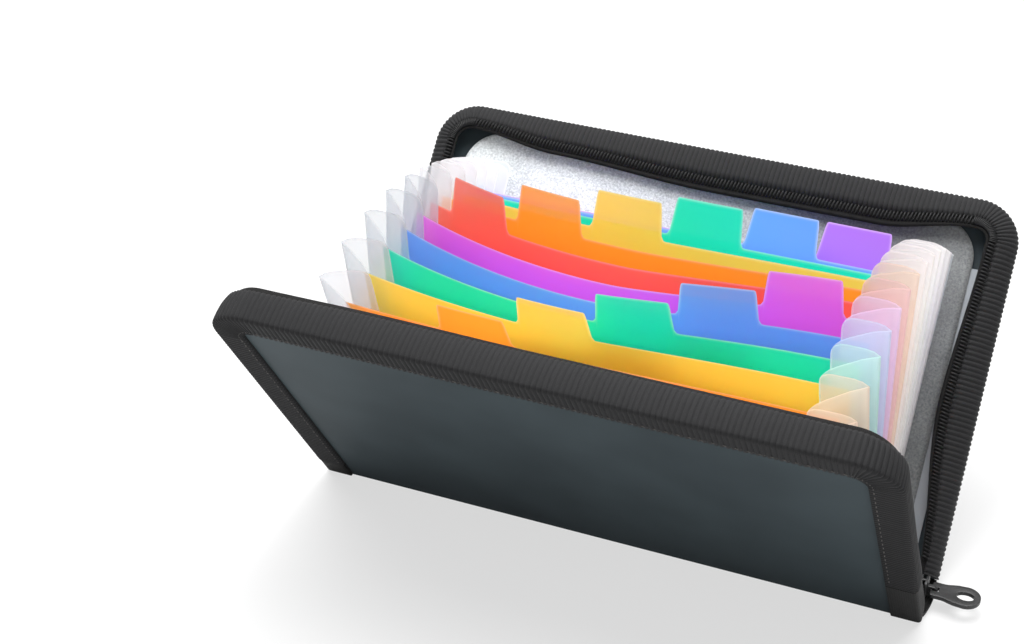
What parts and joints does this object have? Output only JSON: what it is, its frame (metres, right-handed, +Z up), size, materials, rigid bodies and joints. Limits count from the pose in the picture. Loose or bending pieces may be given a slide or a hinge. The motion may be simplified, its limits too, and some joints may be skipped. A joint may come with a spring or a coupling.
{
  "type": "coupon organizer wallet",
  "caption": "Zip-round coupon organizer standing open on its spine: stiff dark covers with ribbed fabric edges round a pleated accordion of coloured, tabbed index dividers",
  "frame": {"origin": "centre of the spine's flat underside, on the surface the wallet stands on", "axes": "+X along the spine to the zip slider's end, -Y toward the front cover and the viewer, +Z up"},
  "size_m": [0.216, 0.1684, 0.1048],
  "materials": {
    "cover_plastic": "charcoal polypropylene board, satin",
    "ribbed_ribbon": "black ribbed woven ribbon",
    "tape_fabric": "black woven zipper tape",
    "coil_plastic": "black nylon coil",
    "grey_felt": "light grey speckled felt",
    "slider_paint": "matt dark grey paint on die-cast zinc",
    "clear_film": "frosted clear polypropylene film",
    "red_film": "translucent red polypropylene sheet",
    "orange_film": "translucent orange polypropylene sheet",
    "yellow_film": "translucent yellow polypropylene sheet",
    "green_film": "translucent green polypropylene sheet",
    "blue_film": "translucent blue polypropylene sheet",
    "magenta_film": "translucent magenta polypropylene sheet",
    "purple_film": "translucent purple polypropylene sheet"
  },
  "bodies": {
    "spine": {"spine_board": "cover_plastic", "accordion_base": "clear_film", "left_end_tab": "tape_fabric", "right_end_tab": "tape_fabric", "zipper_chain_end": "coil_plastic"},
    "front_cover": {"front_cover_board": "cover_plastic", "front_lining": "grey_felt", "front_binding_face": "ribbed_ribbon", "front_edge_binding": "ribbed_ribbon", "front_patch_left": "tape_fabric", "front_patch_right": "tape_fabric", "front_zipper_tape": "tape_fabric", "front_zipper_coil": "coil_plastic", "front_accordion_panel": "clear_film", "front_gusset_leaf": "clear_film"},
    "rear_cover": {"rear_cover_board": "cover_plastic", "rear_lining": "grey_felt", "rear_binding_face": "ribbed_ribbon", "rear_edge_binding": "ribbed_ribbon", "rear_patch_left": "tape_fabric", "rear_patch_right": "tape_fabric", "rear_zipper_tape": "tape_fabric", "rear_zipper_coil": "coil_plastic", "rear_accordion_panel": "clear_film", "rear_gusset_leaf": "clear_film"},
    "slider": {"slider_body": "slider_paint"},
    "pull": {"pull_tab": "slider_paint"},
    "leaf_01": {"divider_01": "red_film", "gusset_fold_01": "clear_film"},
    "leaf_02": {"divider_02": "orange_film", "gusset_fold_02": "clear_film"},
    "leaf_03": {"divider_03": "yellow_film", "gusset_fold_03": "clear_film"},
    "leaf_04": {"divider_04": "green_film", "gusset_fold_04": "clear_film"},
    "leaf_05": {"divider_05": "blue_film", "gusset_fold_05": "clear_film"},
    "leaf_06": {"divider_06": "magenta_film", "gusset_fold_06": "clear_film"},
    "leaf_07": {"divider_07": "red_film", "gusset_fold_07": "clear_film"},
    "leaf_08": {"divider_08": "orange_film", "gusset_fold_08": "clear_film"},
    "leaf_09": {"divider_09": "yellow_film", "gusset_fold_09": "clear_film"},
    "leaf_10": {"divider_10": "green_film", "gusset_fold_10": "clear_film"},
    "leaf_11": {"divider_11": "blue_film", "gusset_fold_11": "clear_film"},
    "leaf_12": {"divider_12": "purple_film", "gusset_fold_12": "clear_film"}
  },
  "joints": [
    {"name": "front_cover_hinge", "type": "hinge", "parent": "spine", "child": "front_cover", "pos_m": [0, -0.0095, 0.0005], "axis": [1, 0, 0], "range_deg": [-34, 0], "deforming": ["front_gusset_leaf"]},
    {"name": "rear_cover_hinge", "type": "hinge", "parent": "spine", "child": "rear_cover", "pos_m": [0, 0.0095, 0.0005], "axis": [1, 0, 0], "range_deg": [0, 42], "deforming": ["rear_gusset_leaf"]},
    {"name": "leaf_01_hinge", "type": "hinge", "parent": "spine", "child": "leaf_01", "pos_m": [0, -0.0066, 0.0018], "axis": [1, 0, 0], "range_deg": [-28.64, 0], "deforming": ["gusset_fold_01"]},
    {"name": "leaf_02_hinge", "type": "hinge", "parent": "spine", "child": "leaf_02", "pos_m": [0, -0.0054, 0.0018], "axis": [1, 0, 0], "range_deg": [-22.32, 0], "deforming": ["gusset_fold_02"]},
    {"name": "leaf_03_hinge", "type": "hinge", "parent": "spine", "child": "leaf_03", "pos_m": [0, -0.0042, 0.0018], "axis": [1, 0, 0], "range_deg": [-16.35, 0], "deforming": ["gusset_fold_03"]},
    {"name": "leaf_04_hinge", "type": "hinge", "parent": "spine", "child": "leaf_04", "pos_m": [0, -0.003, 0.0018], "axis": [1, 0, 0], "range_deg": [-10.6, 0], "deforming": ["gusset_fold_04"]},
    {"name": "leaf_05_hinge", "type": "hinge", "parent": "spine", "child": "leaf_05", "pos_m": [0, -0.0018, 0.0018], "axis": [1, 0, 0], "range_deg": [-4.94, 0], "deforming": ["gusset_fold_05"]},
    {"name": "leaf_06_hinge", "type": "hinge", "parent": "spine", "child": "leaf_06", "pos_m": [0, -0.0006, 0.0018], "axis": [1, 0, 0], "range_deg": [0, 0.7336], "deforming": ["gusset_fold_06"]},
    {"name": "leaf_07_hinge", "type": "hinge", "parent": "spine", "child": "leaf_07", "pos_m": [0, 0.0006, 0.0018], "axis": [1, 0, 0], "range_deg": [0, 6.49], "deforming": ["gusset_fold_07"]},
    {"name": "leaf_08_hinge", "type": "hinge", "parent": "spine", "child": "leaf_08", "pos_m": [0, 0.0018, 0.0018], "axis": [1, 0, 0], "range_deg": [0, 12.32], "deforming": ["gusset_fold_08"]},
    {"name": "leaf_09_hinge", "type": "hinge", "parent": "spine", "child": "leaf_09", "pos_m": [0, 0.003, 0.0018], "axis": [1, 0, 0], "range_deg": [0, 18.17], "deforming": ["gusset_fold_09"]},
    {"name": "leaf_10_hinge", "type": "hinge", "parent": "spine", "child": "leaf_10", "pos_m": [0, 0.0042, 0.0018], "axis": [1, 0, 0], "range_deg": [0, 23.93], "deforming": ["gusset_fold_10"]},
    {"name": "leaf_11_hinge", "type": "hinge", "parent": "spine", "child": "leaf_11", "pos_m": [0, 0.0054, 0.0018], "axis": [1, 0, 0], "range_deg": [0, 29.47], "deforming": ["gusset_fold_11"]},
    {"name": "leaf_12_hinge", "type": "hinge", "parent": "spine", "child": "leaf_12", "pos_m": [0, 0.0066, 0.0018], "axis": [1, 0, 0], "range_deg": [0, 34.66], "deforming": ["gusset_fold_12"]},
    {"name": "zipper_slide", "type": "slide", "parent": "spine", "child": "slider", "axis": [0, 0, 1], "range_m": [0, 0.005]},
    {"name": "pull_hinge", "type": "hinge", "parent": "slider", "child": "pull", "pos_m": [0.1006, 0, 0.005], "axis": [0, -1, 0], "range_deg": [-12, 85]}
  ],
  "couplings": [
    {"joint": "rear_cover_hinge", "follows": "front_cover_hinge", "ratio": -1.2353},
    {"joint": "leaf_01_hinge", "follows": "front_cover_hinge", "ratio": 0.84228},
    {"joint": "leaf_02_hinge", "follows": "front_cover_hinge", "ratio": 0.65653},
    {"joint": "leaf_03_hinge", "follows": "front_cover_hinge", "ratio": 0.48092},
    {"joint": "leaf_04_hinge", "follows": "front_cover_hinge", "ratio": 0.31182},
    {"joint": "leaf_05_hinge", "follows": "front_cover_hinge", "ratio": 0.14539},
    {"joint": "leaf_06_hinge", "follows": "front_cover_hinge", "ratio": -0.021547},
    {"joint": "leaf_07_hinge", "follows": "front_cover_hinge", "ratio": -0.1908},
    {"joint": "leaf_08_hinge", "follows": "front_cover_hinge", "ratio": -0.36236},
    {"joint": "leaf_09_hinge", "follows": "front_cover_hinge", "ratio": -0.53444},
    {"joint": "leaf_10_hinge", "follows": "front_cover_hinge", "ratio": -0.70384},
    {"joint": "leaf_11_hinge", "follows": "front_cover_hinge", "ratio": -0.86673},
    {"joint": "leaf_12_hinge", "follows": "front_cover_hinge", "ratio": -1.0195}
  ]
}
